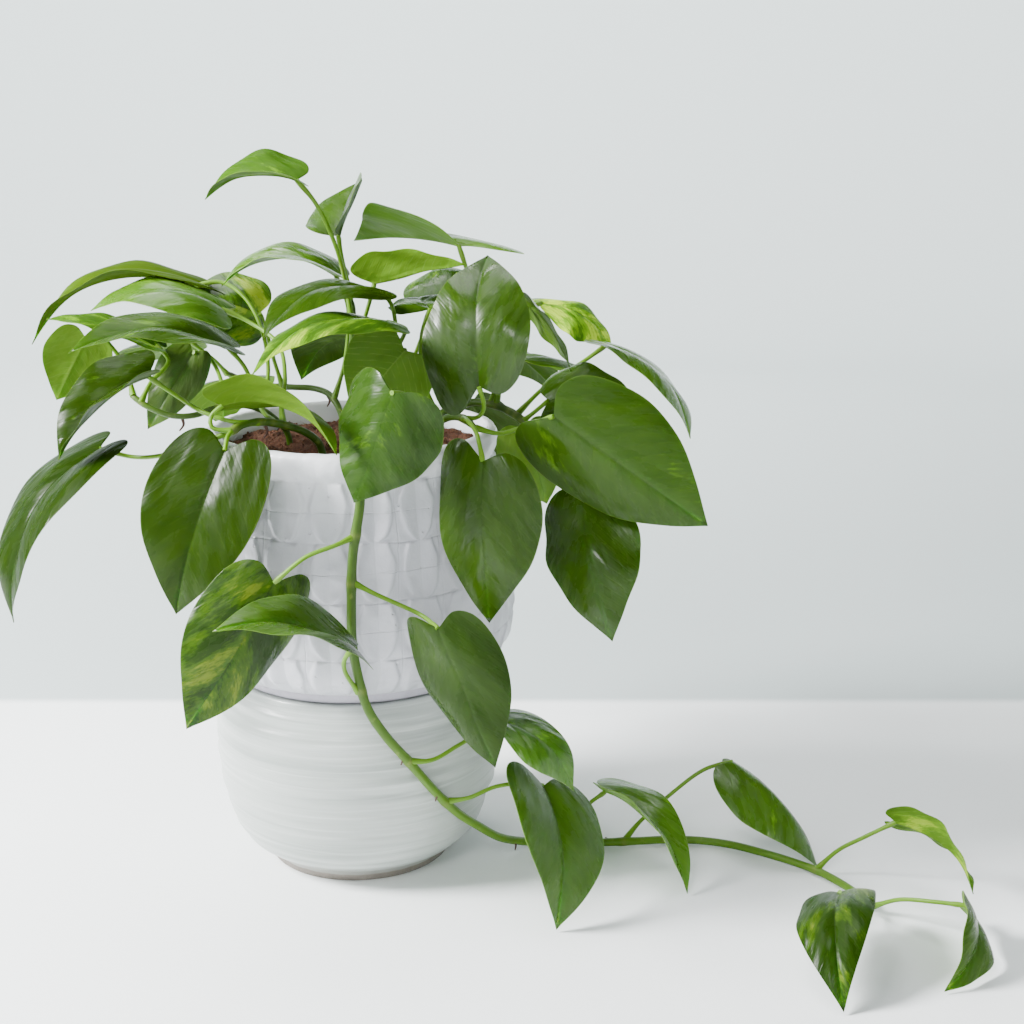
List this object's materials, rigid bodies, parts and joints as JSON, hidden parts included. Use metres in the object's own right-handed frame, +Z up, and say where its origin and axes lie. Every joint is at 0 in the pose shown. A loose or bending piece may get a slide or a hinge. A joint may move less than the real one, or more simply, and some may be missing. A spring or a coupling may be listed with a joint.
{
  "type": "potted pothos plant",
  "caption": "Potted pothos with heart-shaped leaves; a trailing vine runs down an embossed pot that stands on a round glazed pot and along the surface in front.",
  "frame": {"origin": "middle of the glazed base pot's flat foot, on the surface it stands on", "axes": "+Z up, -Y towards the front, +X towards the end of the trailing vine"},
  "size_m": [0.4868, 0.3124, 0.376],
  "materials": {
    "base_glaze": "satin",
    "embossed_ceramic": "satin",
    "soil": "matte",
    "stem": "satin",
    "dark_leaf": "gloss",
    "mid_leaf": "satin",
    "lime_leaf": "satin",
    "mottled_leaf": "satin"
  },
  "bodies": {
    "root": {"glazed_base_pot": "base_glaze", "embossed_pot": "embossed_ceramic", "soil": "soil", "trailing_vine": "stem", "trailing_leaf_1": "mottled_leaf", "trailing_leaf_2": "mid_leaf", "trailing_leaf_3": "mid_leaf", "trailing_leaf_4": "mottled_leaf", "trailing_leaf_5": "mid_leaf", "trailing_leaf_6": "mid_leaf", "trailing_leaf_7": "mid_leaf", "trailing_leaf_8": "mottled_leaf", "trailing_leaf_9": "mottled_leaf", "trailing_leaf_10": "dark_leaf", "left_front_vine": "stem", "left_front_leaf_1": "dark_leaf", "left_front_leaf_2": "lime_leaf", "left_front_leaf_3": "mid_leaf", "left_front_leaf_4": "dark_leaf", "left_front_leaf_5": "mid_leaf", "left_front_leaf_6": "mid_leaf", "left_back_vine": "stem", "left_back_leaf_1": "lime_leaf", "left_back_leaf_2": "lime_leaf", "left_back_leaf_3": "mottled_leaf", "left_back_leaf_4": "lime_leaf", "back_left_vine": "stem", "back_left_leaf_1": "mottled_leaf", "back_left_leaf_2": "dark_leaf", "back_left_leaf_3": "mid_leaf", "back_left_leaf_4": "dark_leaf", "upright_vine": "stem", "upright_leaf_1": "mottled_leaf", "upright_leaf_2": "mid_leaf", "upright_leaf_3": "lime_leaf", "upright_leaf_4": "mid_leaf", "upright_leaf_5": "mottled_leaf", "upright_leaf_6": "dark_leaf", "upright_leaf_7": "mottled_leaf", "right_vine": "stem", "right_leaf_1": "mid_leaf", "right_leaf_2": "dark_leaf", "right_leaf_3": "mid_leaf", "right_leaf_4": "dark_leaf", "right_leaf_5": "lime_leaf", "right_leaf_6": "dark_leaf", "right_leaf_7": "mid_leaf", "right_leaf_8": "mottled_leaf", "right_leaf_9": "mid_leaf", "right_leaf_10": "mid_leaf", "right_leaf_11": "mid_leaf", "back_vine": "stem", "back_leaf_1": "dark_leaf", "back_leaf_2": "mid_leaf", "back_leaf_3": "mid_leaf", "back_leaf_4": "mottled_leaf", "back_leaf_5": "dark_leaf", "back_leaf_6": "mid_leaf"}
  },
  "joints": []
}
